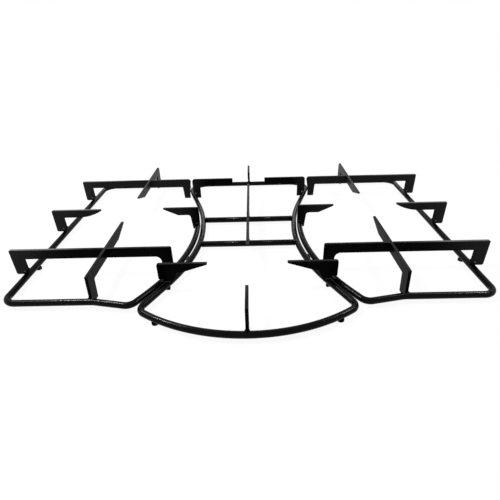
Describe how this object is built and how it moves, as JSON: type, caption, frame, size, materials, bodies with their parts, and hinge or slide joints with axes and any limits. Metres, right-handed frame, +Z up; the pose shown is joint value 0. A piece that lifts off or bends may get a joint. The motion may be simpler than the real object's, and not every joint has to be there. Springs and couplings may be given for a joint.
{
  "type": "hob pan support",
  "caption": "Gloss black enamelled hob pan support: an hourglass centre grate nested between two side grates, bent from round rod with upright plate fingers.",
  "frame": {"origin": "middle of the whole support, on the plane of the feet's undersides", "axes": "+X to the right across the support, +Y towards the back of the hob, +Z up"},
  "size_m": [0.6576, 0.492, 0.039],
  "materials": {
    "enamel": "gloss"
  },
  "bodies": {
    "root": {"centre_rod": "enamel", "centre_front_bar": "enamel", "centre_mid_bar": "enamel", "centre_middle_blade": "enamel", "centre_rear_finger": "enamel", "centre_wok_front_finger": "enamel", "centre_rear_left_finger": "enamel", "centre_rear_right_finger": "enamel", "centre_wok_left_finger": "enamel", "centre_wok_right_finger": "enamel", "centre_feet": "enamel", "left_rod": "enamel", "left_front_blade": "enamel", "left_rear_blade": "enamel", "left_outer_finger": "enamel", "left_inner_finger": "enamel", "left_front_finger": "enamel", "left_rear_finger": "enamel", "left_feet": "enamel", "right_rod": "enamel", "right_front_blade": "enamel", "right_rear_blade": "enamel", "right_outer_finger": "enamel", "right_inner_finger": "enamel", "right_front_finger": "enamel", "right_rear_finger": "enamel", "right_feet": "enamel"}
  },
  "joints": []
}
